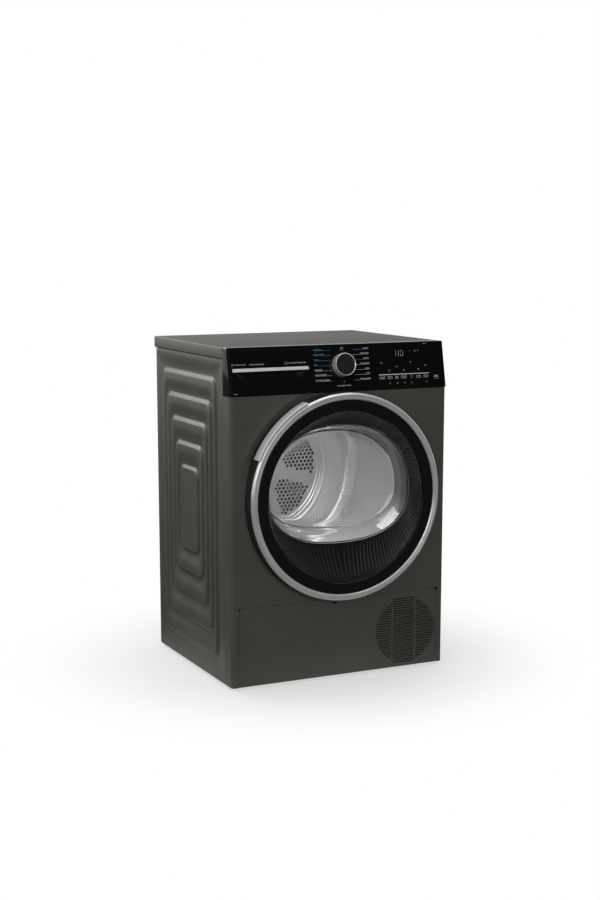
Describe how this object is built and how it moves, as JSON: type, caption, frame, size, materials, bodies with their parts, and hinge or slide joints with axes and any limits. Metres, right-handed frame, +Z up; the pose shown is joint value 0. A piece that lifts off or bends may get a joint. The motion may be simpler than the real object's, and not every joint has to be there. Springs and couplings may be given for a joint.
{
  "type": "clothes dryer",
  "caption": "Free-standing front-loading heat-pump clothes dryer with a round glass door, tumbling drum, programme knob, water-tank drawer and a drop-down kick plate over the heat pump.",
  "frame": {"origin": "centre of the overall box on the floor plane, under the feet", "axes": "+Z up; the door and control panel face -Y; +X is on the right of someone facing the front"},
  "size_m": [0.598, 0.609, 0.846],
  "materials": {
    "cabinet_enamel": "satin dark olive-grey enamel on sheet steel",
    "worktop_board": "chipboard with a dark olive-grey laminate",
    "kick_plate_plastic": "satin plastic painted to match the cabinet",
    "gloss_black": "piano-black gloss",
    "tinted_glass": "dark tinted display window",
    "door_glass": "clear moulded bowl",
    "chrome": "polished plated rim",
    "matte_black": "textured black moulding",
    "grey_plastic": "plain grey moulding",
    "white_plastic": "translucent white moulding",
    "rubber": "black rubber",
    "steel": "plain stainless and zinc-plated steel",
    "aluminium": "bright finned aluminium",
    "felt": "grey felt",
    "circuit_board": "green circuit board"
  },
  "bodies": {
    "cabinet": {"worktop": "worktop_board", "side_panel_left": "cabinet_enamel", "side_panel_right": "cabinet_enamel", "front_panel": "cabinet_enamel", "rear_panel": "cabinet_enamel", "rear_duct_cover": "steel", "power_inlet": "matte_black", "base_tray": "matte_black", "fascia": "gloss_black", "display_window": "tinted_glass", "control_board": "circuit_board", "tank_runner": "matte_black", "hinge_bracket": "steel", "door_lock": "matte_black", "front_bulkhead": "grey_plastic", "drum_front_seal": "felt", "lint_filter": "matte_black", "drum_belt": "rubber", "drum_bearing": "aluminium", "drive_motor": "steel", "blower_housing": "grey_plastic", "compressor": "matte_black", "heat_pump_filter": "matte_black", "evaporator": "aluminium", "condenser": "aluminium"},
    "door": {"door_outer_ring": "chrome", "door_grip": "chrome", "door_lens_ring": "gloss_black", "door_funnel": "matte_black", "door_glass": "door_glass", "door_inner_frame": "grey_plastic", "door_seal": "rubber", "door_hook": "steel", "hinge_leaf": "steel", "hinge_pin": "steel"},
    "selector": {"selector_knob": "chrome", "knob_cap": "gloss_black", "selector_shaft": "matte_black"},
    "tank_drawer": {"tank_front": "gloss_black", "tank_grip_strip": "chrome", "water_tank": "white_plastic"},
    "kick_panel": {"kick_plate": "kick_plate_plastic"},
    "kick_latch_tab": {"kick_latch": "matte_black"},
    "drum": {"drum_shell": "steel", "drum_rear_disc": "steel", "drum_lifter_1": "grey_plastic", "drum_lifter_2": "grey_plastic", "drum_lifter_3": "grey_plastic", "drum_shaft": "steel"},
    "motor_rotor": {"motor_shaft": "steel", "motor_pulley": "steel", "blower_wheel": "grey_plastic"},
    "roller_left": {"support_roller_left": "rubber"},
    "roller_right": {"support_roller_right": "rubber"},
    "tensioner_arm": {"idler_arm": "steel"},
    "tensioner_roller": {"idler_roller": "matte_black"},
    "foot_fl": {"foot_front_left": "matte_black"},
    "foot_rl": {"foot_rear_left": "matte_black"},
    "foot_fr": {"foot_front_right": "matte_black"},
    "foot_rr": {"foot_rear_right": "matte_black"}
  },
  "joints": [
    {"name": "door_hinge", "type": "hinge", "parent": "cabinet", "child": "door", "pos_m": [0.253, -0.2855, 0.4705], "axis": [0, 0, 1], "range_deg": [0, 110]},
    {"name": "selector_turn", "type": "hinge", "parent": "cabinet", "child": "selector", "pos_m": [0.009, -0.25, 0.795], "axis": [0, 0.9806, -0.1961], "continuous": true},
    {"name": "tank_slide", "type": "slide", "parent": "cabinet", "child": "tank_drawer", "axis": [0, -1, 0], "range_m": [0, 0.35]},
    {"name": "kick_plate_hinge", "type": "hinge", "parent": "cabinet", "child": "kick_panel", "pos_m": [0, -0.255, 0.016], "axis": [1, 0, 0], "range_deg": [0, 80]},
    {"name": "kick_latch_press", "type": "slide", "parent": "kick_panel", "child": "kick_latch_tab", "axis": [0, 1, 0], "range_m": [0, 0.002], "stiffness_N_per_m": 300},
    {"name": "drum_spin", "type": "hinge", "parent": "cabinet", "child": "drum", "pos_m": [0, -0.191, 0.478], "axis": [0, 1, 0], "continuous": true},
    {"name": "motor_spin", "type": "hinge", "parent": "cabinet", "child": "motor_rotor", "pos_m": [0.06, -0.063, 0.105], "axis": [0, 1, 0], "continuous": true},
    {"name": "roller_left_spin", "type": "hinge", "parent": "cabinet", "child": "roller_left", "pos_m": [-0.18365, -0.173, 0.24294], "axis": [0, 1, 0], "continuous": true},
    {"name": "roller_right_spin", "type": "hinge", "parent": "cabinet", "child": "roller_right", "pos_m": [0.18365, -0.173, 0.24294], "axis": [0, 1, 0], "continuous": true},
    {"name": "tensioner_pivot", "type": "hinge", "parent": "cabinet", "child": "tensioner_arm", "pos_m": [0.13843, 0.0995, 0.08691], "axis": [0, 1, 0], "range_deg": [0, 8], "stiffness_Nm_per_rad": 1.5, "springref_deg": -11.46},
    {"name": "tensioner_roller_spin", "type": "hinge", "parent": "tensioner_arm", "child": "tensioner_roller", "pos_m": [0.12643, 0.0895, 0.14891], "axis": [0, 1, 0], "continuous": true},
    {"name": "foot_fl_turn", "type": "hinge", "parent": "cabinet", "child": "foot_fl", "pos_m": [-0.262, -0.218, 0.004], "axis": [0, 0, 1], "continuous": true},
    {"name": "foot_rl_turn", "type": "hinge", "parent": "cabinet", "child": "foot_rl", "pos_m": [-0.262, 0.202, 0.004], "axis": [0, 0, 1], "continuous": true},
    {"name": "foot_fr_turn", "type": "hinge", "parent": "cabinet", "child": "foot_fr", "pos_m": [0.262, -0.218, 0.004], "axis": [0, 0, 1], "continuous": true},
    {"name": "foot_rr_turn", "type": "hinge", "parent": "cabinet", "child": "foot_rr", "pos_m": [0.262, 0.202, 0.004], "axis": [0, 0, 1], "continuous": true}
  ],
  "couplings": [
    {"joint": "motor_spin", "follows": "drum_spin", "ratio": 29.806},
    {"joint": "roller_left_spin", "follows": "drum_spin", "ratio": -12.546},
    {"joint": "roller_right_spin", "follows": "drum_spin", "ratio": -12.546},
    {"joint": "tensioner_roller_spin", "follows": "drum_spin", "ratio": -17.45}
  ]
}
